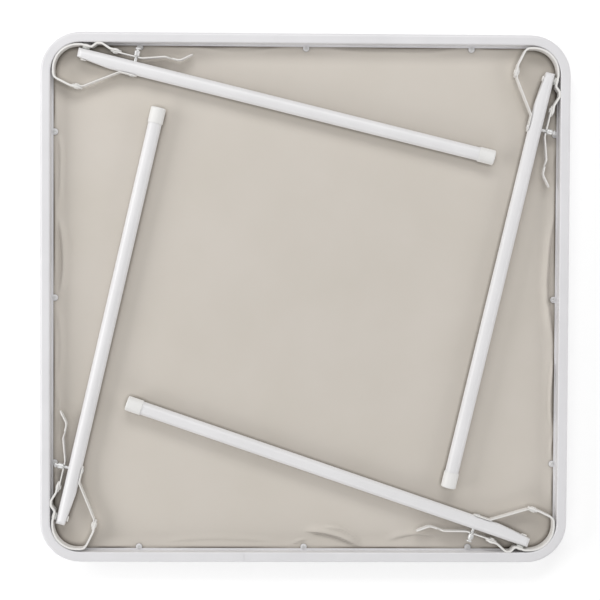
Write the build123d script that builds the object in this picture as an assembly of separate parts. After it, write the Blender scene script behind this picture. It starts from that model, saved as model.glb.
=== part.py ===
from build123d import *
import os
from math import atan2, cos, degrees, hypot, radians, sin, sqrt

# A square folding card table, lying face down with its four legs folded in.
# Millimetres and degrees. z = 0 is the playing surface, +Z points out of the underside,
# and the origin is the middle of the playing surface.

# Frame: one rolled steel tube with a turned-in flange, bent round the four corners
table_side = 860.0
frame_corner_radius = 66.0
frame_width = 16.5
frame_depth = 32.0
frame_wall = 1.2
frame_set_back = 1.0
frame_outer_round = 5.0
frame_inner_round = 2.5
flange_reach = 2.5
frame_slit = 0.4
seam_corner = 2
seam_place = 527.0
seam_width = 0.7
seam_depth = 0.5
cut_overrun = 2.0

# Padded top, from the playing surface up: cover, pad, board and lining
panel_gap = 0.6
cover_thickness = 0.8
cover_round = 3.0
cover_lip = 18.0
pad_thickness = 3.0
board_thickness = 4.0
lining_thickness = 0.6
lining_margin = 1.0

# Screws that hold the top down on the flange, three a side
screw_spread = 270.5
screw_from_wall = 4.8
screw_radius = 1.5
screw_head_radius = 3.2
screw_head_height = 2.0
screw_head_round = 0.7
screw_recess_length = 3.6
screw_recess_width = 0.7
screw_recess_depth = 0.9
screw_tip_margin = 0.4
ear_radius = 5.2

# Legs. Each has its own angle to the side that it folds beside.
fold_angles = (13.56, 13.16, 18.83, 12.89)
leg_diameter = 22.2
leg_wall = 1.2
foot_margin = 103.6
tip_width = 15.0
taper_start = 46.0
tip_easing = 0.4
cap_wall = 1.2
cap_length = 26.0
cap_floor = 4.0
cap_clearance = 1.0
cap_end_round = 2.5
cap_rim_round = 0.5
press_gap = 0.05

# Leg hinge: a rivet through the corner strap, a bush and the leg
hinge_past_corner = 4.5
hinge_wall_gap = 2.0
hinge_pin_radius = 3.0
hinge_head_radius = 4.8
hinge_head_height = 1.8
bush_length = 3.4
bush_radius = 6.0
running_gap = 0.08
face_gap = 0.3
head_round = 0.9

# Smaller rivets, of the stay and of the side brace
plate_pin_radius = 2.5
plate_head_radius = 4.2
plate_head_height = 1.6

# Corner strap: a bent steel strip on edge, with three flat places for rivets
strap_thickness = 3.0
strap_width = 19.0
strap_corner_easing = 10.0
strap_corner_gap = 0.8
strap_turn_run = 12.0
hinge_tab_ahead = 9.0
hinge_tab_behind = 8.0
wall_pad_start = 21.0
wall_pad_length = 8.0
stay_tab_lead = 8.5
brace_tab_lead = 11.0
strap_corner_radius = frame_corner_radius - frame_width - strap_corner_easing
strap_bend_radii = (4.0, 6.0, 6.0, 5.0, 10.0, strap_corner_radius, 11.0, 6.0)

# Lock stay: a strip with two notches, hinged to the strap and hooked on the leg's stud
stay_thickness = 1.8
stay_width = 16.0
stay_pivot_distance = 47.5
stud_distance = 82.0
stay_stand_off = 6.0
stay_joggle = 11.5
stay_flare = 15.0
stay_overhang = 28.0
stay_flat_round_notch = 10.0
stay_flat_before_lock = 15.0
stay_tip_round = 6.0
stay_bend_radius = 12.0
notch_gap = 0.4
store_notch_shares = (0.0, 0.06, 0.12, 0.18, 0.25)
lock_notch_shares = (1.0, 0.95, 0.9, 0.85, 0.8)

# Lock stud: a stepped pin through the leg, with a groove for the locked stay
stud_neck_radius = 2.5
stud_barrel_radius = 4.75
stud_play = 1.2
groove_play = 0.6
stud_end_height = 2.2
stud_rivet_height = 1.4

# Side brace: a strip from the strap's far end to the leg, turning with the leg
brace_thickness = 1.8
brace_width = 16.0
brace_setback = 16.7
brace_flat = 9.0
brace_landing = 62.0
brace_end_margin = 8.0
brace_bend_radius = 8.0

# Heights, from the playing surface
pad_z = cover_thickness
board_z = pad_z + pad_thickness
lip_z = board_z + board_thickness
lining_z = lip_z + cover_thickness
flange_z = lining_z + lining_thickness
flange_top_z = flange_z + frame_wall
rim_z = frame_set_back
face_z = rim_z + frame_depth
cap_radius = leg_diameter / 2 + press_gap + cap_wall
hinge_z = flange_z + cap_clearance + cap_radius
screw_tip_z = board_z + screw_tip_margin

# Sizes in plan, worked out from the above
half_side = table_side / 2
side_run = table_side - 2 * frame_corner_radius
panel_inset = frame_width + panel_gap
screw_inset = frame_width + screw_from_wall
leg_radius = leg_diameter / 2
hinge_along = frame_corner_radius + hinge_past_corner
hinge_inset = (frame_width + hinge_wall_gap + hinge_head_height + strap_thickness
               + bush_length + leg_radius)
leg_reach = table_side - hinge_along - foot_margin

# Distances from the leg's axis, positive towards the side that the leg folds beside
hinge_tab_y = leg_radius + bush_length + strap_thickness / 2
stay_y = leg_radius + stay_stand_off + stay_thickness / 2
stay_tab_y = stay_y + stay_thickness / 2 + face_gap + strap_thickness / 2
lock_y = stay_y + stay_joggle
brace_spread = frame_corner_radius - brace_setback
brace_y = -brace_spread
brace_tab_y = brace_y - brace_thickness / 2 - face_gap - strap_thickness / 2
brace_leg_y = -leg_radius - brace_thickness / 2

# The stay stores on the stud with the leg folded and locks on it with the leg at 90 degrees
store_x = stud_distance - stay_pivot_distance
lock_x = hypot(stud_distance, stay_pivot_distance)
leg_swing = 90.0
stay_swing = 180.0 - degrees(atan2(stud_distance, stay_pivot_distance))


def corner_place(corner):
    """Frame of a corner: x runs along the side that its leg folds beside, y points outward."""
    return Rot(0, 0, -90 * corner) * Pos(-half_side, half_side, 0)


def leg_place(corner):
    """Frame of a leg: the hinge point, x along the folded leg, y towards the near side."""
    turn = Rot(0, 0, -fold_angles[corner])
    return corner_place(corner) * Pos(hinge_along, -hinge_inset, hinge_z) * turn


def leg_to_corner(corner, x, y):
    """A point of the leg's frame, in plan, in the corner's frame."""
    a = radians(fold_angles[corner])
    return (hinge_along + x * cos(a) + y * sin(a), -hinge_inset - x * sin(a) + y * cos(a))


def cross_bar(radius, y_from, y_to, x=0.0, z=0.0):
    """A round bar across the leg's frame, from one distance off the axis to another."""
    length = abs(y_to - y_from)
    return Pos(x, (y_from + y_to) / 2, z) * Rot(90, 0, 0) * Cylinder(radius, length)


def rounded_head(radius, y_seat, y_top, x=0.0):
    """A rivet head whose outer rim, away from its seat, is rounded."""
    head = cross_bar(radius, y_seat, y_top, x)
    rim = head.edges().filter_by(GeomType.CIRCLE).sort_by(Axis.Y)
    far_rim = rim[-1] if y_top > y_seat else rim[0]
    return fillet(far_rim, min(head_round, abs(y_top - y_seat) / 2))


def rounded_square(inset, thickness, z):
    """A flat square plate with the frame's rounded corners, inset from the frame's outside."""
    side = table_side - 2 * inset
    outline = RectangleRounded(side, side, frame_corner_radius - inset)
    return Pos(0, 0, z) * extrude(outline, thickness)


def screw_places():
    """Centres of the twelve screws, in plan."""
    reach = half_side - screw_inset
    places = []
    for corner in range(4):
        for shift in (-screw_spread, 0.0, screw_spread):
            a = radians(90 * corner)
            places.append((shift * cos(a) + reach * sin(a), -shift * sin(a) + reach * cos(a)))
    return places


def screw_bars(radius, z_low, z_high):
    """Upright round bars at every screw, between two heights."""
    length = z_high - z_low
    return [Pos(x, y, z_low + length / 2) * Cylinder(radius, length) for x, y in screw_places()]


def frame_section(inset):
    """Rounded outline of the tube, as inward distance and height, shrunk by an inset."""
    width = frame_width - 2 * inset
    depth = frame_depth - 2 * inset
    shape = Pos(frame_width / 2, rim_z + frame_depth / 2) * Rectangle(width, depth)
    outer = shape.vertices().filter_by(lambda v: v.X < frame_width / 2)
    shape = fillet(outer, frame_outer_round - inset)
    inner = shape.vertices().filter_by(lambda v: v.X > frame_width - inset - frame_wall)
    return fillet(inner, frame_inner_round - inset)


def frame_profile():
    """Section of the rolled frame: tube, flange and the slit at the sheet's open edge."""
    tube = frame_section(0.0) - frame_section(frame_wall)
    reach = frame_wall + flange_reach
    flange = Pos(frame_width - frame_wall + reach / 2, flange_z + frame_wall / 2)
    tube += flange * Rectangle(reach, frame_wall)
    slit = Pos(frame_width - frame_wall / 2, flange_z - frame_slit / 2)
    return tube - slit * Rectangle(2 * frame_wall, frame_slit)


def along_side(sketch, start, length):
    """A section drawn as inward distance and height, run along a side in the corner's frame."""
    section_plane = Plane(origin=(start, 0, 0), x_dir=(0, -1, 0), z_dir=(-1, 0, 0))
    return extrude(section_plane * sketch, -length)


def table_frame():
    """The whole frame: four sides and four bends, screw ears, screw holes and the butt seam."""
    profile = frame_profile()
    section_plane = Plane(origin=(frame_corner_radius, 0, 0), x_dir=(0, -1, 0), z_dir=(-1, 0, 0))
    bend_axis = Axis((frame_corner_radius, -frame_corner_radius, 0), (0, 0, 1))
    quarter = along_side(profile, frame_corner_radius, side_run)
    quarter += revolve(section_plane * profile, bend_axis, 90)
    ring = Part() + [corner_place(corner) * quarter for corner in range(4)]
    ear = Cylinder(ear_radius, frame_wall)
    ring += [Pos(x, y, flange_z + frame_wall / 2) * ear for x, y in screw_places()]
    ring -= screw_bars(screw_radius + press_gap, screw_tip_z, face_z)
    band = frame_section(-cut_overrun / 2) - frame_section(seam_depth)
    inner_side = Pos(frame_width, rim_z + frame_depth / 2)
    band -= inner_side * Rectangle(2 * seam_depth + frame_wall, frame_depth + 2 * cut_overrun)
    return ring - corner_place(seam_corner) * along_side(band, seam_place, seam_width)


def vinyl_cover():
    """Cover of the playing side, wrapped round the edge and folded on to the board's back."""
    height = lining_z
    outer = rounded_square(panel_inset, height, 0)
    outer = fillet(outer.edges().group_by(Axis.Z)[0], cover_round)
    inside_inset = panel_inset + cover_thickness
    inside = rounded_square(inside_inset, lip_z - pad_z, pad_z)
    inside = fillet(inside.edges().group_by(Axis.Z)[0], cover_round - cover_thickness)
    window = rounded_square(panel_inset + cover_lip, cover_thickness + cut_overrun, lip_z)
    return outer - inside - window - screw_bars(screw_radius, screw_tip_z, flange_top_z)


def foam_pad():
    """Thin foam under the cover."""
    pad = rounded_square(panel_inset + cover_thickness, pad_thickness, pad_z)
    return fillet(pad.edges().group_by(Axis.Z)[0], cover_round - cover_thickness)


def top_board():
    """Hardboard that the cover is stretched over, with the screws' pilot holes."""
    board = rounded_square(panel_inset + cover_thickness, board_thickness, board_z)
    return board - screw_bars(screw_radius, screw_tip_z, flange_top_z)


def underside_lining():
    """Taut lining over the board's back, held down under the frame's flange."""
    sheet = rounded_square(panel_inset + lining_margin, lining_thickness, lining_z)
    return sheet - screw_bars(screw_radius, screw_tip_z, flange_top_z)


def panel_screws():
    """Twelve pan-head screws with crossed recesses, heads on the flange."""
    head = Pos(0, 0, screw_head_height / 2) * Cylinder(screw_head_radius, screw_head_height)
    head = fillet(head.edges().filter_by(GeomType.CIRCLE).sort_by(Axis.Z)[-1], screw_head_round)
    slot = Box(screw_recess_length, screw_recess_width, 2 * screw_recess_depth)
    top = Pos(0, 0, screw_head_height)
    head -= [top * slot, top * Rot(0, 0, 90) * slot]
    length = flange_top_z - screw_tip_z
    screw = head + Pos(0, 0, -length / 2) * Cylinder(screw_radius, length)
    return Compound([Pos(x, y, flange_top_z) * screw for x, y in screw_places()])


def strap_line(corner):
    """Centre line of a corner strap in plan, from its stay end round to its brace end."""
    inner_radius = frame_corner_radius - frame_width
    bend_outside = strap_corner_radius + strap_thickness / 2
    reach = (inner_radius - strap_corner_gap - bend_outside) / sqrt(2)
    inset = frame_corner_radius - reach - strap_corner_radius
    wall_y = -frame_width - strap_thickness / 2
    pad_x = hinge_along + wall_pad_start
    points = [
        leg_to_corner(corner, stay_pivot_distance + strap_width / 2, stay_tab_y),
        leg_to_corner(corner, stay_pivot_distance - stay_tab_lead, stay_tab_y),
        (pad_x + wall_pad_length, wall_y),
        (pad_x, wall_y),
        leg_to_corner(corner, hinge_tab_ahead, hinge_tab_y),
        leg_to_corner(corner, -hinge_tab_behind, hinge_tab_y),
        (inset, -inset),
        (inset, -inset - strap_corner_radius - strap_turn_run),
        leg_to_corner(corner, -brace_tab_lead, brace_tab_y),
        leg_to_corner(corner, strap_width / 2, brace_tab_y),
    ]
    return FilletPolyline(*points, radius=list(strap_bend_radii))


def tab_end(x_pivot, y_tab):
    """What is cut from a tab past its pivot, so that its end is a half round."""
    reach = strap_width
    block = Pos(x_pivot + reach / 2, y_tab, 0) * Box(reach, 3 * strap_thickness, 2 * strap_width)
    half = 2 * strap_thickness
    return block - cross_bar(strap_width / 2, y_tab - half, y_tab + half, x_pivot)


def corner_strap(corner):
    """Bent strap of one corner, drilled for its three rivets."""
    strip = extrude(trace(strap_line(corner), strap_thickness), strap_width)
    strap = corner_place(corner) * Pos(0, 0, hinge_z - strap_width / 2) * strip
    cuts = [tab_end(stay_pivot_distance, stay_tab_y), tab_end(0.0, brace_tab_y)]
    half = strap_thickness
    cuts.append(cross_bar(hinge_pin_radius, hinge_tab_y - half, hinge_tab_y + half))
    cuts.append(cross_bar(plate_pin_radius, stay_tab_y - half, stay_tab_y + half, stay_pivot_distance))
    cuts.append(cross_bar(plate_pin_radius, brace_tab_y - half, brace_tab_y + half))
    return strap - [leg_place(corner) * cut for cut in cuts]


def hinge_bush():
    """Spacer between the strap and the leg, on the hinge rivet."""
    y_strap = hinge_tab_y - strap_thickness / 2
    y_leg = leg_radius + face_gap
    return cross_bar(bush_radius, y_leg, y_strap) - cross_bar(hinge_pin_radius, y_leg, y_strap)


def taper_y(x):
    """Height of the leg's flattened inner face, which is planar, at a place along the leg."""
    tip_y = leg_radius - tip_width
    slope = (-leg_radius - tip_y) / (taper_start + leg_radius)
    return tip_y + slope * (x + leg_radius)


def hinge_rivet():
    """Rivet through strap, bush and both walls of the leg."""
    y_out = hinge_tab_y + strap_thickness / 2
    y_in = taper_y(hinge_head_radius) - face_gap
    pin = cross_bar(hinge_pin_radius, y_in, y_out)
    pin += rounded_head(hinge_head_radius, y_out, y_out + hinge_head_height)
    return pin + rounded_head(hinge_head_radius, y_in, y_in - hinge_head_height)


def plate_rivet(x, y_low, y_high):
    """Rivet through two plates, with a head at each end."""
    pin = cross_bar(plate_pin_radius, y_low, y_high, x)
    pin += rounded_head(plate_head_radius, y_high, y_high + plate_head_height, x)
    return pin + rounded_head(plate_head_radius, y_low, y_low - plate_head_height, x)


def stay_rivet():
    """Rivet that the lock stay turns on."""
    y_low = stay_y - stay_thickness / 2 - face_gap
    return plate_rivet(stay_pivot_distance, y_low, stay_tab_y + strap_thickness / 2)


def brace_rivet():
    """Rivet that the side brace turns on, in line with the leg's hinge rivet."""
    y_high = brace_y + brace_thickness / 2 + face_gap
    return plate_rivet(0.0, brace_tab_y - strap_thickness / 2, y_high)


def leg_outside(radius, inset, tip_radius):
    """Solid leg: round, its inner side planed off towards the hinge, its tip rounded."""
    start_x = -leg_diameter
    length = leg_reach - start_x
    bar = Pos(start_x + length / 2, 0, 0) * Rot(0, 90, 0) * Cylinder(radius, length)
    end_x = 2 * taper_start + leg_radius
    planed = Polyline(
        (2 * start_x, taper_y(2 * start_x) + inset),
        (end_x, taper_y(end_x) + inset),
        (end_x, 2 * start_x),
        (2 * start_x, 2 * start_x),
        close=True,
    )
    bar -= Pos(0, 0, -leg_diameter) * extrude(make_face(planed), 2 * leg_diameter)
    keep = cross_bar(tip_radius, -leg_diameter, leg_diameter)
    keep += Pos(leg_reach / 2, 0, 0) * Box(leg_reach, 2 * leg_diameter, 2 * leg_diameter)
    return bar & keep


def leg_tube():
    """Steel tube leg, closed at the hinge end, its open end inside the foot cap."""
    bore_radius = leg_radius - leg_wall
    bore = leg_outside(bore_radius, leg_wall, bore_radius + tip_easing)
    tube = leg_outside(leg_radius, 0.0, leg_radius + tip_easing) - bore
    far_end = Pos(leg_reach, 0, 0) * Box(2 * cap_floor, leg_diameter + cap_wall, leg_diameter + cap_wall)
    tube -= far_end
    tube -= cross_bar(hinge_pin_radius + running_gap, -leg_diameter, leg_diameter)
    return tube - cross_bar(stud_neck_radius + press_gap, -leg_diameter, leg_diameter, stud_distance)


def foot_cap():
    """Plastic cap pushed over the leg's end."""
    cap = Pos(leg_reach - cap_length / 2, 0, 0) * Rot(0, 90, 0) * Cylinder(cap_radius, cap_length)
    rims = cap.edges().filter_by(GeomType.CIRCLE).sort_by(Axis.X)
    cap = fillet(rims[-1], cap_end_round)
    rims = cap.edges().filter_by(GeomType.CIRCLE).sort_by(Axis.X)
    cap = fillet(rims[0], cap_rim_round)
    depth = cap_length - cap_floor
    socket = Pos(leg_reach - cap_length + depth / 2, 0, 0) * Rot(0, 90, 0)
    return cap - socket * Cylinder(leg_radius + press_gap, depth)


def lock_stud():
    """Stepped stud through the leg, riveted over on the side brace."""
    y_back = brace_leg_y - brace_thickness / 2
    y_barrel = stay_y + stay_thickness / 2 + stud_play
    y_groove = lock_y - stay_thickness / 2 - groove_play
    y_end = lock_y + stay_thickness / 2 + groove_play
    stud = cross_bar(stud_neck_radius, y_back, y_end, stud_distance)
    stud += rounded_head(plate_head_radius, y_back, y_back - stud_rivet_height, stud_distance)
    stud += cross_bar(stud_barrel_radius, y_barrel, y_groove, stud_distance)
    return stud + rounded_head(stud_barrel_radius, y_end, y_end + stud_end_height, stud_distance)


def leg_brace():
    """Flat strip from the brace rivet to the leg's inner side."""
    end_x = stud_distance + brace_end_margin
    line = FilletPolyline(
        (-brace_width / 2, brace_y),
        (brace_flat, brace_y),
        (brace_landing, brace_leg_y),
        (end_x, brace_leg_y),
        radius=brace_bend_radius,
    )
    strip = Pos(0, 0, -brace_width / 2) * extrude(trace(line, brace_thickness), brace_width)
    length = end_x + brace_width / 2
    outline = Pos(length / 2 - brace_width / 2, 0) * RectangleRounded(
        length, brace_width, brace_width / 2 - press_gap)
    side_view = Plane(origin=(0, 0, 0), x_dir=(1, 0, 0), z_dir=(0, -1, 0)) * outline
    brace = strip & extrude(side_view, 2 * brace_spread)
    brace -= cross_bar(plate_pin_radius + running_gap, brace_y - leg_radius, brace_y + leg_radius)
    return brace - cross_bar(stud_neck_radius + press_gap, brace_leg_y - leg_radius, 0.0, stud_distance)


def stud_in_stay(swing_share):
    """Centre of the stud in the stay's own frame, x along the stay, at a share of the swing."""
    leg_turn = radians(leg_swing * swing_share)
    stay_turn = radians(stay_swing * swing_share)
    x = stud_distance * cos(leg_turn) - stay_pivot_distance
    z = stud_distance * sin(leg_turn)
    return (x * cos(stay_turn) + z * sin(stay_turn), z * cos(stay_turn) - x * sin(stay_turn))


def stay_notch(swing_shares):
    """Notch that clears the stud over part of the swing, given from its closed end outward."""
    points = [stud_in_stay(share) for share in swing_shares]
    radius = stud_neck_radius + notch_gap
    return trace(Spline(*points), 2 * radius) + Pos(*points[0]) * Circle(radius)


def lock_stay():
    """Stay strip, in the leg's frame: storage notch, lock notch and a flared release end."""
    tip_x = lock_x + stay_overhang
    line = FilletPolyline(
        (-stay_width / 2, stay_y),
        (store_x + stay_flat_round_notch, stay_y),
        (lock_x - stay_flat_before_lock, lock_y),
        (lock_x + stay_flat_round_notch, lock_y),
        (tip_x, lock_y + stay_flare),
        radius=stay_bend_radius,
    )
    strip = Pos(0, 0, -stay_width / 2) * extrude(trace(line, stay_thickness), stay_width)
    length = tip_x + stay_width / 2
    outline = Pos(length / 2 - stay_width / 2, 0) * Rectangle(length, stay_width)
    tip_corners = outline.vertices().filter_by(lambda v: v.X > lock_x)
    outline = fillet(tip_corners, stay_tip_round)
    root_corners = outline.vertices().filter_by(lambda v: v.X < 0)
    outline = fillet(root_corners, stay_width / 2 - press_gap)
    outline -= stay_notch(store_notch_shares)
    outline -= stay_notch(lock_notch_shares)
    side_view = Plane(origin=(0, 0, 0), x_dir=(1, 0, 0), z_dir=(0, -1, 0)) * outline
    stay = strip & extrude(side_view, -2 * (lock_y + stay_flare))
    stay -= cross_bar(plate_pin_radius + running_gap, 0.0, stay_tab_y)
    return Pos(stay_pivot_distance, 0, 0) * stay


def save(shape, node):
    """Write one sub-part."""
    export_step(shape, "parts/" + node + ".step")


os.makedirs("parts", exist_ok=True)

save(table_frame(), "table_frame")
save(vinyl_cover(), "vinyl_cover")
save(foam_pad(), "foam_pad")
save(top_board(), "top_board")
save(underside_lining(), "underside_lining")
save(panel_screws(), "panel_screws")

leg_pieces = {
    "hinge_bush": hinge_bush(),
    "hinge_rivet": hinge_rivet(),
    "stay_rivet": stay_rivet(),
    "brace_rivet": brace_rivet(),
    "leg_tube": leg_tube(),
    "foot_cap": foot_cap(),
    "lock_stud": lock_stud(),
    "leg_brace": leg_brace(),
    "lock_stay": lock_stay(),
}
for corner in range(4):
    number = str(corner + 1)
    save(corner_strap(corner), "corner_strap_" + number)
    for name, piece in leg_pieces.items():
        save(leg_place(corner) * piece, name + "_" + number)
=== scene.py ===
import math

import bpy
import numpy as np
from mathutils import Matrix, Vector


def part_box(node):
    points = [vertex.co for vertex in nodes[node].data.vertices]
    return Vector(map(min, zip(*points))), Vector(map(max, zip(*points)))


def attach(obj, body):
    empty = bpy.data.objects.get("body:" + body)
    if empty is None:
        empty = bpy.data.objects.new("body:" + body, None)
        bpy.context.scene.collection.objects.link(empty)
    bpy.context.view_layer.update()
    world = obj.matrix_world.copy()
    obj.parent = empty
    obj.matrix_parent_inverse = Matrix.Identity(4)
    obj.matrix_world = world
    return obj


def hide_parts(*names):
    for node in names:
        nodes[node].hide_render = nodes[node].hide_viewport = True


# A square folding card table, lying face down with its legs folded in.
# Metres, +Z out of the underside.

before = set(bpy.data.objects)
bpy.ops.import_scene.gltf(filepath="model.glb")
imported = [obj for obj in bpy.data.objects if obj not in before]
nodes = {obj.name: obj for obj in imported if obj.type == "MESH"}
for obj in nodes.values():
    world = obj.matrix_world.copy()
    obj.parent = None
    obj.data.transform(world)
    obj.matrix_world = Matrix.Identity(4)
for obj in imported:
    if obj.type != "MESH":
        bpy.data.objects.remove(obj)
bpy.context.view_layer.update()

MM = 0.001
DIGITS = 6


def highest(name):
    """The highest corner of a solid's box, to the micrometre."""
    return [round(place, DIGITS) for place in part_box(name)[1]]


# Sizes that the lining and the cover share with the solids
FRAME_RADIUS = 0.066
SCREW_SPREAD = 0.2705
SCREW_HEAD_RADIUS = 0.0032
HALF_SIDE = highest("table_frame")[0]
COVER_HALF, _, COVER_BACK = highest("vinyl_cover")
LINING_HALF, _, LINING_BACK = highest("underside_lining")
SCREW_REACH = highest("panel_screws")[0] - SCREW_HEAD_RADIUS
CORE_HALF = HALF_SIDE - FRAME_RADIUS
COVER_RADIUS = COVER_HALF - CORE_HALF
LINING_RADIUS = LINING_HALF - CORE_HALF


# Materials

# Scale and detail of the noise in the tint, the gloss and the relief of each kind of surface
PAINT_GRAIN = ((14.0, 5.0), (60.0, 3.0), (520.0, 2.0))
STEEL_GRAIN = ((260.0, 4.0), (900.0, 3.0), (1400.0, 2.0))
PLASTIC_GRAIN = ((40.0, 3.0), (300.0, 2.0), (1100.0, 2.0))
# Strength and depth of the relief
PAINT_RELIEF = (0.10, 0.0003)
STEEL_RELIEF = (0.15, 0.0001)
PLASTIC_RELIEF = (0.12, 0.0002)
# Radius that edges look rounded to
PAINT_EDGE = 0.0006
BRACKET_EDGE = 0.0005
STEEL_EDGE = 0.0003
PLASTIC_EDGE = 0.0004
BEVEL_SAMPLES = 6
PAINT_COAT_ROUGHNESS = 0.25

# Vinyl and the like: noise of tint and gloss, how far the gloss varies, and the pebbled grain
SHEET_TINT_GRAIN = (7.0, 4.0, 0.55)
SHEET_GLOSS_GRAIN = (45.0, 4.0)
SHEET_GLOSS_RANGE = 0.08
SHEET_RELIEF = 0.35
SHEET_COAT_ROUGHNESS = 0.4
SHEET_SHEEN = 0.08
SHEET_SHEEN_ROUGHNESS = 0.5
PEBBLE_SMOOTHNESS = 0.6
PEBBLE_WARP = 0.004
PEBBLE_WARP_SCALE = 0.5
PEBBLE_FINE_SCALE = 3.0
PEBBLE_FINE_DETAIL = 3.0
PEBBLE_FINE_SHARE = 0.35
# Painted shade in the creases: how far around a point the ambient occlusion looks for other
# surfaces, and the occlusion levels at which the painted shade starts and ends
PAINTED_SHADE_REACH = 0.009
PAINTED_SHADE_SAMPLES = 8
PAINTED_SHADE_RANGE = (0.36, 0.96)

SRGB_WHITE = 255.0
TINT_RANGE = (0.35, 0.65)
SHEET_TINT_RANGE = (0.3, 0.7)


def srgb(*colour):
    """A colour given as it looks on screen, 0 to 255, as linear values."""
    def linear(level):
        level /= SRGB_WHITE
        return level / 12.92 if level <= 0.04045 else ((level + 0.055) / 1.055) ** 2.4
    return (*map(linear, colour), 1.0)


def new_material(name, metallic=0.0):
    mat = bpy.data.materials.new(name)
    mat.use_nodes = True
    shader = mat.node_tree.nodes["Principled BSDF"]
    shader.inputs["Metallic"].default_value = metallic
    return mat, shader


def node(mat, kind, **values):
    n = mat.node_tree.nodes.new(kind)
    for key, value in values.items():
        if key in n.inputs:
            n.inputs[key].default_value = value
        else:
            setattr(n, key, value)
    return n


def link(mat, a, out, b, into):
    mat.node_tree.links.new(a.outputs[out], b.inputs[into])


def noise(mat, coords, scale, detail=2.0, rough=0.5):
    n = node(mat, "ShaderNodeTexNoise", Scale=scale, Detail=detail, Roughness=rough)
    link(mat, coords, "Object", n, "Vector")
    return n


def ramp(mat, source, out, low, high, at=TINT_RANGE):
    r = node(mat, "ShaderNodeValToRGB")
    for element, place, colour in zip(r.color_ramp.elements, at, (low, high)):
        element.position = place
        element.color = colour
    link(mat, source, out, r, "Fac")
    return r


def spread(mat, source, out, low, high):
    m = node(mat, "ShaderNodeMapRange")
    m.inputs["To Min"].default_value = low
    m.inputs["To Max"].default_value = high
    link(mat, source, out, m, "Value")
    return m


def hard_surface(name, low, high, gloss, grain, relief, edge, metallic=0.0):
    """A hard finish: mottled tint, uneven gloss, fine relief and softened edges."""
    mat, shader = new_material(name, metallic)
    coords = node(mat, "ShaderNodeTexCoord")
    tint_noise, gloss_noise, relief_noise = [noise(mat, coords, *pair) for pair in grain]
    tint = ramp(mat, tint_noise, "Fac", srgb(*low), srgb(*high))
    link(mat, tint, "Color", shader, "Base Color")
    link(mat, spread(mat, gloss_noise, "Fac", *gloss), "Result", shader, "Roughness")
    rounded = node(mat, "ShaderNodeBevel", samples=BEVEL_SAMPLES, Radius=edge)
    strength, depth = relief
    bump = node(mat, "ShaderNodeBump", Strength=strength, Distance=depth)
    link(mat, relief_noise, "Fac", bump, "Height")
    link(mat, rounded, "Normal", bump, "Normal")
    link(mat, bump, "Normal", shader, "Normal")
    return mat, shader


def paint(name, low, high, gloss, edge, coat):
    """Baked-on paint: faint mottling and fine orange peel, with a glossier skin."""
    mat, shader = hard_surface(name, low, high, gloss, PAINT_GRAIN, PAINT_RELIEF, edge)
    shader.inputs["Coat Weight"].default_value = coat
    shader.inputs["Coat Roughness"].default_value = PAINT_COAT_ROUGHNESS
    return mat


def steel(name, low, high, gloss, metallic):
    """Bright zinc plate with fine turning marks."""
    return hard_surface(name, low, high, gloss, STEEL_GRAIN, STEEL_RELIEF, STEEL_EDGE, metallic)[0]


def plastic(name, low, high, gloss):
    """Moulded plastic with a fine matt texture."""
    return hard_surface(name, low, high, gloss, PLASTIC_GRAIN, PLASTIC_RELIEF, PLASTIC_EDGE)[0]


def add_painted_crease_shade(mat, shader, tint, painted_crease_shade):
    """Paint shade into a sheet's tint: darken it where it lies close to another surface or to
    itself.
    """
    # Painted shade: ambient occlusion mixes the tint towards a dark colour in creases and next to
    # other surfaces
    shade = node(mat, "ShaderNodeAmbientOcclusion", samples=PAINTED_SHADE_SAMPLES, Distance=PAINTED_SHADE_REACH)
    share = ramp(mat, shade, "AO", srgb(0, 0, 0), srgb(255, 255, 255), PAINTED_SHADE_RANGE)
    mix = node(mat, "ShaderNodeMixRGB", Color1=srgb(*painted_crease_shade))
    link(mat, share, "Color", mix, "Fac")
    link(mat, tint, "Color", mix, "Color2")
    link(mat, mix, "Color", shader, "Base Color")


def add_pebbles(mat, shader, coords, grain, depth):
    """A sheet's relief: soft warped cells with finer noise on them."""
    cells = node(mat, "ShaderNodeTexVoronoi", feature="SMOOTH_F1", Scale=grain)
    cells.inputs["Smoothness"].default_value = PEBBLE_SMOOTHNESS
    warp = noise(mat, coords, grain * PEBBLE_WARP_SCALE)
    shift = node(mat, "ShaderNodeMixRGB", blend_type="ADD", Fac=PEBBLE_WARP)
    link(mat, coords, "Object", shift, "Color1")
    link(mat, warp, "Color", shift, "Color2")
    link(mat, shift, "Color", cells, "Vector")
    fine = noise(mat, coords, grain * PEBBLE_FINE_SCALE, PEBBLE_FINE_DETAIL)
    both = node(mat, "ShaderNodeMath", operation="MULTIPLY_ADD")
    both.inputs[1].default_value = PEBBLE_FINE_SHARE
    link(mat, fine, "Fac", both, 0)
    link(mat, cells, "Distance", both, 2)
    bump = node(mat, "ShaderNodeBump", Strength=SHEET_RELIEF, Distance=depth)
    link(mat, both, "Value", bump, "Height")
    link(mat, bump, "Normal", shader, "Normal")


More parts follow.
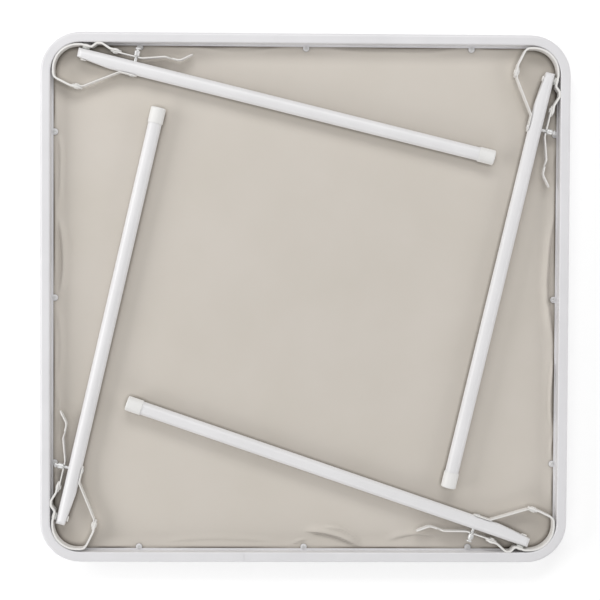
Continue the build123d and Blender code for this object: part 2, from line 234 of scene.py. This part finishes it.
def sheet_material(name, low, high, roughness, grain, depth, coat=0.0, painted_crease_shade=None):
    """A sheet's surface: cloudy tint, pebbled grain, a soft sheen and, if given, painted shade in
    its creases.
    """
    mat, shader = new_material(name)
    coords = node(mat, "ShaderNodeTexCoord")
    cloud = noise(mat, coords, *SHEET_TINT_GRAIN)
    tint = ramp(mat, cloud, "Fac", srgb(*low), srgb(*high), SHEET_TINT_RANGE)
    link(mat, tint, "Color", shader, "Base Color")
    if painted_crease_shade:
        add_painted_crease_shade(mat, shader, tint, painted_crease_shade)
    gloss = spread(mat, noise(mat, coords, *SHEET_GLOSS_GRAIN), "Fac",
                   roughness - SHEET_GLOSS_RANGE, roughness + SHEET_GLOSS_RANGE)
    link(mat, gloss, "Result", shader, "Roughness")
    add_pebbles(mat, shader, coords, grain, depth)
    shader.inputs["Coat Weight"].default_value = coat
    shader.inputs["Coat Roughness"].default_value = SHEET_COAT_ROUGHNESS
    shader.inputs["Sheen Weight"].default_value = SHEET_SHEEN
    shader.inputs["Sheen Roughness"].default_value = SHEET_SHEEN_ROUGHNESS
    return mat


# Two tints that each surface varies between, the range of its roughness, and for paint the
# softening of its edges and the strength of its coat
frame_paint = paint("frame_paint", (226, 225, 227), (231, 230, 232), (0.26, 0.40), PAINT_EDGE, 0.25)
leg_paint = paint("leg_paint", (232, 231, 232), (236, 235, 236), (0.29, 0.43), PAINT_EDGE, 0.2)
bracket_paint = paint("bracket_paint", (234, 232, 229), (239, 237, 234), (0.29, 0.43),
                      BRACKET_EDGE, 0.2)
cap_plastic = plastic("cap_plastic", (234, 233, 231), (238, 237, 235), (0.39, 0.51))
bush_plastic = plastic("bush_plastic", (206, 206, 202), (216, 216, 212), (0.44, 0.56))
screw_steel = steel("screw_steel", (204, 204, 204), (232, 232, 231), (0.2, 0.42), 0.4)
# Two tints, roughness, cells to the metre and depth of the grain, and for the lining the colour of
# the painted shade in its creases
lining_sheet = sheet_material("lining_sheet", (206, 199, 189), (210, 203, 194), 0.55,
                              520.0, 0.00008, painted_crease_shade=(98, 88, 75))
cover_vinyl = sheet_material("cover_vinyl", (186, 176, 162), (196, 187, 174), 0.46,
                             420.0, 0.0004, coat=0.1)
pad_foam = sheet_material("pad_foam", (214, 208, 190), (224, 219, 203), 0.9, 700.0, 0.0004)
board_fibre = sheet_material("board_fibre", (120, 92, 64), (140, 108, 78), 0.8, 300.0, 0.0001)

FINISHES = {
    "table_frame": frame_paint,
    "vinyl_cover": cover_vinyl,
    "foam_pad": pad_foam,
    "top_board": board_fibre,
    "underside_lining": lining_sheet,
    "panel_screws": screw_steel,
    "corner_strap": bracket_paint,
    "hinge_bush": bush_plastic,
    "hinge_rivet": bracket_paint,
    "stay_rivet": bracket_paint,
    "brace_rivet": bracket_paint,
    "leg_tube": leg_paint,
    "foot_cap": cap_plastic,
    "lock_stud": screw_steel,
    "leg_brace": bracket_paint,
    "lock_stay": bracket_paint,
}
for name, solid in nodes.items():
    solid.data.materials.clear()
    solid.data.materials.append(FINISHES[name.rstrip("_1234")])


# Mesh helpers


def mesh_piece(name, verts, faces, material, smooth=True):
    data = bpy.data.meshes.new(name)
    data.from_pydata([tuple(v) for v in verts], [], faces)
    data.validate()
    data.update()
    data.polygons.foreach_set("use_smooth", [smooth] * len(data.polygons))
    piece = bpy.data.objects.new(name, data)
    bpy.context.scene.collection.objects.link(piece)
    data.materials.append(material)
    return piece


def thicken(piece, thickness):
    """Give a sheet its thickness, on the side that its faces turn away from."""
    modifier = piece.modifiers.new("thickness", "SOLIDIFY")
    modifier.thickness = thickness
    modifier.offset = -1.0
    bpy.context.view_layer.objects.active = piece
    for other in bpy.context.selected_objects:
        other.select_set(False)
    piece.select_set(True)
    bpy.ops.object.modifier_apply(modifier=modifier.name)


def line_places(half, margin, fine, coarse):
    """Places across a square: close together near its edges, wider apart in the middle."""
    edge = np.arange(0.0, margin, fine)
    count = int(round(2 * (half - margin) / coarse))
    middle = np.linspace(-half + margin, half - margin, count + 1)
    return np.concatenate([-half + edge, middle, (half - edge)[::-1]])


def rounded_grid(half, radius, margin, fine, coarse):
    """Grid points of a square whose corners are rounded, with its faces and its outline."""
    places = line_places(half, margin, fine, coarse)
    count = len(places)
    x, y = np.meshgrid(places, places, indexing="ij")
    core = half - radius
    p = np.maximum(np.abs(x) - core, 0.0)
    q = np.maximum(np.abs(y) - core, 0.0)
    far = np.hypot(p, q)
    pull = np.where(far > 0, np.maximum(p, q) / np.where(far > 0, far, 1.0), 1.0)
    x = np.where(p > 0, np.sign(x) * (core + p * pull), x)
    y = np.where(q > 0, np.sign(y) * (core + q * pull), y)
    index = np.arange(count * count).reshape(count, count)
    corners = (index[:-1, :-1], index[1:, :-1], index[1:, 1:], index[:-1, 1:])
    faces = np.stack(corners, -1).reshape(-1, 4)
    outline = np.concatenate([index[:-1, 0], index[-1, :-1], index[:0:-1, -1], index[0, :0:-1]])
    return x.ravel(), y.ravel(), faces.tolist(), outline


def edge_distance(x, y, half, radius):
    """How far points lie inside the outline of a rounded square."""
    qx = np.abs(x) - (half - radius)
    qy = np.abs(y) - (half - radius)
    outside = np.hypot(np.maximum(qx, 0), np.maximum(qy, 0))
    return radius - outside - np.minimum(np.maximum(qx, qy), 0)


def smooth_step(t):
    t = np.clip(t, 0.0, 1.0)
    return t * t * (3 - 2 * t)


def wave(places, pace, phase):
    return np.sin(places * pace + phase)


def curve_points(points, count=40):
    """Points along a smooth line through given ones."""
    pts = np.array(points, float)
    ends = np.vstack([2 * pts[0] - pts[1], pts, 2 * pts[-1] - pts[-2]])
    out = []
    runs = len(pts) - 1
    for k in range(runs):
        a, b, c, d = ends[k:k + 4]
        t = np.linspace(0, 1, count // runs + 1)[:, None]
        out.append(0.5 * (2 * b + (c - a) * t + (2 * a - 5 * b + 4 * c - d) * t**2
                          + (3 * b - a - 3 * c + d) * t**3))
    return np.vstack(out)


def facing(angle):
    """The direction in plan at an angle."""
    return np.array((math.cos(angle), math.sin(angle)))


# The underside's lining: a thin sheet pulled over the board and held at its edges

LINING_THICKNESS = 0.0003
LINING_CLEARANCE = 0.00008
LINING_TOP = LINING_BACK - LINING_CLEARANCE
LINING_GRID = (0.05, 0.0014, 0.005)  # width of the finer border, its spacing, the middle's spacing
# How far the frame's flange reaches over the lining, and over what width the sheet then rises
HELD_BORDER = 0.0009
BORDER_RISE = 0.0025

# How far a fold is looked for around its line, and the share of its length that each end takes
FOLD_REACH = 0.05
LONG_ENDS = 0.26
SHORT_ENDS = 0.5
NO_LENGTH = 1e-12

# Folds that the photograph shows, in millimetres: points, height, spread inward and outward
FOLDS = [
    ([(409, 246), (402, 213), (399, 180), (406, 151)], 1.6, 7.0, 4.0),
    ([(409, 144), (404, 118), (400, 88), (398, 49), (397, 20), (401, -20), (406, -56),
      (409, -79)], 6.8, 8.0, 2.4),
    ([(410, -91), (407, -122), (405, -152), (405, -181), (408, -214)], 3.4, 2.0, 2.6),
    ([(410, -224), (407, -244), (409, -264)], 2.2, 2.6, 2.0),
    ([(-406, 276), (-400, 249), (-399, 216), (-400, 175), (-403, 140)], 3.0, 4.0, 2.6),
    ([(-404, 136), (-398, 107), (-395, 74), (-395, 42), (-399, 16), (-405, -1)], 5.2, 7.0, 2.6),
    ([(-405, -14), (-400, -45), (-398, -86), (-401, -135)], 2.2, 6.0, 3.4),
    ([(-405, -143), (-400, -176), (-400, -217), (-405, -253)], 1.9, 5.0, 3.2),
    ([(22, 409), (71, 404), (137, 403), (202, 403), (255, 409)], 2.6, 7.0, 2.6),
    ([(-189, 409), (-149, 404), (-100, 402), (-35, 409)], 2.0, 6.0, 3.0),
    ([(-1, -383), (24, -384), (47, -389), (70, -398), (95, -410)], 5.6, 9.0, 1.3),
    ([(30, -374), (57, -378), (76, -388), (98, -407)], 3.2, 2.6, 2.8),
    ([(132, -402), (149, -394), (172, -388), (198, -387), (225, -393)], 2.4, 8.0, 2.2),
    ([(-19, -405), (-9, -400), (4, -395)], 2.2, 2.4, 1.6),
    ([(-236, -402), (-187, -396), (-113, -395), (-39, -400)], 1.3, 7.0, 3.0),
]

# Slack between neighbouring screws: range of its height and lean, its rise and its spread
SLACK_SEED = 11
SLACK_HEIGHT = (0.0014, 0.0024)
SLACK_LEAN = (0.75, 1.35)
SLACK_RISE = 0.0024
SLACK_CREST = 0.0025
SLACK_SPREAD = 0.010

# Drag lines that run in from each screw, in millimetres and radians
DRAG_START = 5.5
DRAG_FAN = (-0.85, 0.0, 0.85)
DRAG_JITTER = 0.2
DRAG_LENGTH = (14, 26)
DRAG_BEND = 2
DRAG_HEIGHT = (0.25, 0.55)
DRAG_SPREAD = 2.2

# Faint ripples that run in from the edges, in millimetres and radians
RIPPLES_PER_SIDE = 22
RIPPLE_EDGE = 404.0
RIPPLE_ALONG = 350
RIPPLE_LENGTH = (18, 55)
RIPPLE_LEAN = 0.5
RIPPLE_HEIGHT = (0.08, 0.22)
RIPPLE_SPREAD = (4, 8)

# The sheet lies flat round each screw's head
FLAT_RADIUS = 0.0052
FLAT_FADE = 0.008

# Slow waves over the whole sheet: radians to the metre and phase along x and y, then a slanting
# wave and its share, the waves' depth, their mean sag, and where inside the edge they start
SAG_ALONG_X = (17.0, 0.8)
SAG_ALONG_Y = (13.0, -0.5)
SAG_SLANT = (31.0, -23.0)
SAG_SLANT_SHARE = 0.6
SAG_DEPTH = 0.00013
SAG_MEAN = 0.0002
SAG_START = 0.02
SAG_FADE = 0.06


def fold(x, y, points, height, inner, outer, ends=LONG_ENDS):
    """A fold along a line in plan, in millimetres, with its spread inward and outward."""
    line = curve_points(points) * MM
    length = np.concatenate([[0], np.cumsum(np.hypot(*np.diff(line, axis=0).T))])
    lo, hi = line.min(0) - FOLD_REACH, line.max(0) + FOLD_REACH
    near = (x > lo[0]) & (x < hi[0]) & (y > lo[1]) & (y < hi[1])
    xs, ys = x[near], y[near]
    nearest = np.full(xs.shape, np.inf)
    share, side = np.zeros(xs.shape), np.zeros(xs.shape)
    for k, (start, run) in enumerate(zip(line[:-1], np.diff(line, axis=0))):
        square = run @ run
        if square < NO_LENGTH:
            continue
        dx, dy = xs - start[0], ys - start[1]
        t = np.clip((dx * run[0] + dy * run[1]) / square, 0, 1)
        px, py = dx - t * run[0], dy - t * run[1]
        gap = np.hypot(px, py)
        closer = gap < nearest
        nearest = np.where(closer, gap, nearest)
        share = np.where(closer, (length[k] + t * math.sqrt(square)) / length[-1], share)
        along_x = abs(start[0]) > abs(start[1])
        outward = px * np.sign(start[0]) if along_x else py * np.sign(start[1])
        side = np.where(closer, outward, side)
    width = np.where(side > 0, outer, inner) * MM
    taper = smooth_step(share / ends) * smooth_step((1 - share) / ends)
    rise = np.zeros(x.shape)
    rise[near] = height * MM * taper * np.exp(-(nearest / width) ** 2)
    return rise


def screw_places():
    """The middles of the twelve screws' heads in plan."""
    for corner in range(4):
        a = math.radians(90 * corner)
        for shift in (-SCREW_SPREAD, 0.0, SCREW_SPREAD):
            yield (shift * math.cos(a) + SCREW_REACH * math.sin(a),
                   SCREW_REACH * math.cos(a) - shift * math.sin(a))


def slack(x, y, inside, rng):
    """Low swellings between neighbouring screws, just inside the flange's edge."""
    knots = (-CORE_HALF, -SCREW_SPREAD, 0.0, SCREW_SPREAD, CORE_HALF)
    past = inside - HELD_BORDER
    fall = np.exp(-(np.maximum(past - SLACK_CREST, 0) / SLACK_SPREAD) ** 2)
    across = smooth_step(past / SLACK_RISE) * fall
    out = np.zeros(x.shape)
    for along, other, sign in ((x, y, 1), (x, y, -1), (y, x, 1), (y, x, -1)):
        here = sign * other > np.abs(along)
        for start, end in zip(knots, knots[1:]):
            share = (along - start) / (end - start)
            height = rng.uniform(*SLACK_HEIGHT)
            lean = rng.uniform(*SLACK_LEAN)
            between = here & (share > 0) & (share < 1)
            swell = np.sin(math.pi * np.clip(share, 0, 1) ** lean) ** 2
            out += np.where(between, height * swell * across, 0.0)
    return out


def drag_lines(rng):
    """Three short folds that run in from each screw."""
    for sx, sy in screw_places():
        inward = math.atan2(0, -sx) if abs(sx) > abs(sy) else math.atan2(-sy, 0)
        for fan in DRAG_FAN:
            turn = facing(inward + fan + rng.uniform(-DRAG_JITTER, DRAG_JITTER))
            length = rng.uniform(*DRAG_LENGTH)
            a = np.array((sx, sy)) / MM + DRAG_START * turn
            b = a + length * turn
            bend = (a + b) / 2 + rng.uniform(-DRAG_BEND, DRAG_BEND, 2)
            yield [a, bend, b], rng.uniform(*DRAG_HEIGHT), DRAG_SPREAD, DRAG_SPREAD


def ripples(rng):
    """Faint folds across the pull, dying out away from the edge."""
    for side in range(4):
        c, s = facing(math.pi / 2 * side)
        turn = np.array(((c, -s), (s, c)))
        for _ in range(RIPPLES_PER_SIDE):
            along = rng.uniform(-RIPPLE_ALONG, RIPPLE_ALONG)
            length = rng.uniform(*RIPPLE_LENGTH)
            lean = rng.uniform(-RIPPLE_LEAN, RIPPLE_LEAN)
            a = np.array((along, RIPPLE_EDGE))
            b = a + length * np.array((math.sin(lean), -math.cos(lean)))
            points = [turn @ p for p in (a, (a + b) / 2, b)]
            yield (points, rng.uniform(*RIPPLE_HEIGHT), rng.uniform(*RIPPLE_SPREAD),
                   rng.uniform(*RIPPLE_SPREAD))


def lining_height(x, y, inside):
    """How high the lining stands over its lowest level: folds, slack, drag lines and ripples."""
    rng = np.random.default_rng(SLACK_SEED)
    height = slack(x, y, inside, rng)
    for each in FOLDS:
        height += fold(x, y, *each)
    for each in drag_lines(rng):
        height += fold(x, y, *each, SHORT_ENDS)
    for each in ripples(rng):
        height += fold(x, y, *each, SHORT_ENDS)
    for sx, sy in screw_places():
        height *= smooth_step((np.hypot(x - sx, y - sy) - FLAT_RADIUS) / FLAT_FADE)
    return height * smooth_step((inside - HELD_BORDER) / BORDER_RISE)


def lining_sag(x, y, inside):
    """Slow waves in the middle of the sheet, a little under its level at the edge."""
    crossed = wave(x, *SAG_ALONG_X) * wave(y, *SAG_ALONG_Y)
    slanting = np.sin(x * SAG_SLANT[0] + y * SAG_SLANT[1])
    sag = SAG_DEPTH * (crossed + SAG_SLANT_SHARE * slanting) - SAG_MEAN
    return sag * smooth_step((inside - SAG_START) / SAG_FADE)


def make_lining():
    x, y, faces, _ = rounded_grid(LINING_HALF, LINING_RADIUS, *LINING_GRID)
    inside = edge_distance(x, y, LINING_HALF, LINING_RADIUS)
    z = LINING_TOP + lining_height(x, y, inside) + lining_sag(x, y, inside)
    piece = mesh_piece("lining", np.stack([x, y, z], -1), faces, lining_sheet)
    thicken(piece, LINING_THICKNESS)
    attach(piece, "table_top")
    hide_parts("underside_lining")


# The padded playing side: vinyl over thin foam, turned over the board's edge

COVER_THICKNESS = 0.0007
COVER_GRID = (0.016, 0.0011, 0.008)  # width of the finer border, its spacing, the middle's spacing
# The rounding over the board's edge: its depth, its width and how square it is
EDGE_DEPTH = 0.0042
EDGE_ROUND = 0.010
EDGE_POWER = 2.4
# Rings of the side wall and of the lip on the board's back: inset and level
COVER_RINGS = [
    (0.0, 0.0060),
    (0.0, 0.0074),
    (0.0004, 0.0082),
    (0.0013, COVER_BACK),
    (0.006, COVER_BACK),
    (0.012, COVER_BACK),
    (0.018, COVER_BACK),
]
# The padding's slow unevenness: radians to the metre and phase along x and y, its height, and
# where inside the edge it starts
PAD_ALONG_X = (21.0, 1.0)
PAD_ALONG_Y = (18.0, 0.4)
PAD_RISE = 0.00008
PAD_START = 0.012
PAD_FADE = 0.05


def cover_height(x, y, inside):
    """The playing side's level: flat but for a slow unevenness, and rounded up at its edges."""
    t = np.clip(1 - inside / EDGE_ROUND, 0, 1)
    z = EDGE_DEPTH * (1 - np.sqrt(np.clip(1 - t**EDGE_POWER, 0, 1)))
    uneven = 1 + wave(x, *PAD_ALONG_X) * wave(y, *PAD_ALONG_Y)
    return z + PAD_RISE * uneven * smooth_step((inside - PAD_START) / PAD_FADE)


def make_cover():
    x, y, faces, outline = rounded_grid(COVER_HALF, COVER_RADIUS, *COVER_GRID)
    inside = edge_distance(x, y, COVER_HALF, COVER_RADIUS)
    verts = [np.stack([x, y, cover_height(x, y, inside)], -1)]
    faces = [f[::-1] for f in faces]
    # side wall, then the lip folded over the board's back
    rim = verts[0][outline, :2]
    outward = rim - np.clip(rim, -CORE_HALF, CORE_HALF)
    outward /= np.hypot(outward[:, 0], outward[:, 1])[:, None]
    count = len(outline)
    after = np.roll(np.arange(count), -1)
    last, total = outline, len(x)
    for inset, level in COVER_RINGS:
        verts.append(np.column_stack([rim - outward * inset, np.full(count, level)]))
        here = np.arange(total, total + count)
        faces += np.stack([last, last[after], here[after], here], -1).tolist()
        last = here
        total += count
    piece = mesh_piece("cover", np.vstack(verts), faces, cover_vinyl)
    thicken(piece, COVER_THICKNESS)
    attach(piece, "table_top")
    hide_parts("vinyl_cover")


make_lining()
make_cover()


# Stage, light and camera

FLOOR_HALF = 6.0
FLOOR_LEVEL = -0.0004
PALE = (0.8, 0.8, 0.8, 1.0)
FLOOR_GLOW = 0.35
WHITE = (1.0, 1.0, 1.0, 1.0)
WORLD_LIGHT = 0.37

# Soft boxes on four sides, stronger from the top and the left, as in the photograph
LAMP_SIZE = (2.4, 1.0)
LAMPS = (
    ("top", (0.0, 2.2, 1.9), 31.0),
    ("left", (-2.3, 0.0, 1.1), 31.0),
    ("right", (2.3, 0.0, 1.1), 14.0),
    ("bottom", (0.0, -2.3, 1.1), 14.0),
)

# The photograph's own view, almost straight down on the underside
SENSOR_WIDTH = 36.0
PHOTO_WIDTH = 600.0
PHOTO_FOCAL = 1458.78
CAMERA_PLACE = (-0.052872, 0.061675, 2.4)
CAMERA_TURNS = ((0.005208, "Z"), (-0.018649, "Y"), (-0.026798, "X"))
CAMERA_CLIP = (0.05, 50.0)


def background_rays(tree):
    """1 for the rays that show the background: from the camera, in gloss and through glass."""
    path = tree.nodes.new("ShaderNodeLightPath")
    seen = path.outputs["Is Camera Ray"]
    for ray in ("Is Glossy Ray", "Is Transmission Ray"):
        either = tree.nodes.new("ShaderNodeMath")
        either.operation = "MAXIMUM"
        tree.links.new(seen, either.inputs[0])
        tree.links.new(path.outputs[ray], either.inputs[1])
        seen = either.outputs[0]
    return seen


def mix_background(tree, plain, shown, surface):
    """One shader for the light on the object, another for the rays that show the background."""
    mix = tree.nodes.new("ShaderNodeMixShader")
    tree.links.new(background_rays(tree), mix.inputs["Fac"])
    tree.links.new(plain.outputs[0], mix.inputs[1])
    tree.links.new(shown.outputs[0], mix.inputs[2])
    tree.links.new(mix.outputs[0], surface)


def floor_material():
    mat = bpy.data.materials.new("floor_white")
    mat.use_nodes = True
    tree = mat.node_tree
    tree.nodes.clear()
    out = tree.nodes.new("ShaderNodeOutputMaterial")
    matt = tree.nodes.new("ShaderNodeBsdfDiffuse")
    matt.inputs["Color"].default_value = PALE
    glow = tree.nodes.new("ShaderNodeEmission")
    glow.inputs["Color"].default_value = WHITE
    glow.inputs["Strength"].default_value = FLOOR_GLOW
    both = tree.nodes.new("ShaderNodeAddShader")
    tree.links.new(matt.outputs[0], both.inputs[0])
    tree.links.new(glow.outputs[0], both.inputs[1])
    mix_background(tree, matt, both, out.inputs["Surface"])
    return mat


def make_floor():
    corners = [(-FLOOR_HALF, -FLOOR_HALF, FLOOR_LEVEL), (FLOOR_HALF, -FLOOR_HALF, FLOOR_LEVEL),
               (FLOOR_HALF, FLOOR_HALF, FLOOR_LEVEL), (-FLOOR_HALF, FLOOR_HALF, FLOOR_LEVEL)]
    floor = mesh_piece("floor", corners, [(0, 1, 2, 3)], floor_material(), smooth=False)


def area_light(name, place, power):
    """A soft box that faces the object."""
    data = bpy.data.lights.new(name, "AREA")
    data.shape = "RECTANGLE"
    data.size, data.size_y = LAMP_SIZE
    data.energy = power
    lamp = bpy.data.objects.new(name, data)
    bpy.context.scene.collection.objects.link(lamp)
    lamp.location = place
    lamp.rotation_mode = "QUATERNION"
    lamp.rotation_quaternion = (-Vector(place)).to_track_quat("-Z", "Y")


def make_light():
    world = bpy.data.worlds.new("studio")
    bpy.context.scene.world = world
    world.use_nodes = True
    tree = world.node_tree
    back = tree.nodes["Background"]
    back.inputs["Color"].default_value = WHITE
    back.inputs["Strength"].default_value = WORLD_LIGHT
    backdrop = tree.nodes.new("ShaderNodeBackground")
    backdrop.inputs["Color"].default_value = PALE
    backdrop.inputs["Strength"].default_value = 1.0
    mix_background(tree, back, backdrop, tree.nodes["World Output"].inputs["Surface"])
    for lamp in LAMPS:
        area_light(*lamp)


def make_camera():
    data = bpy.data.cameras.new("camera")
    data.sensor_width = SENSOR_WIDTH
    data.lens = PHOTO_FOCAL * SENSOR_WIDTH / PHOTO_WIDTH
    data.clip_start, data.clip_end = CAMERA_CLIP
    camera = bpy.data.objects.new("camera", data)
    bpy.context.scene.collection.objects.link(camera)
    pose = Matrix.Translation(CAMERA_PLACE)
    for angle, axis in CAMERA_TURNS:
        pose = pose @ Matrix.Rotation(angle, 4, axis)
    camera.matrix_world = pose
    bpy.context.scene.camera = camera


make_floor()
make_light()
make_camera()
bpy.context.scene.view_settings.view_transform = "Standard"
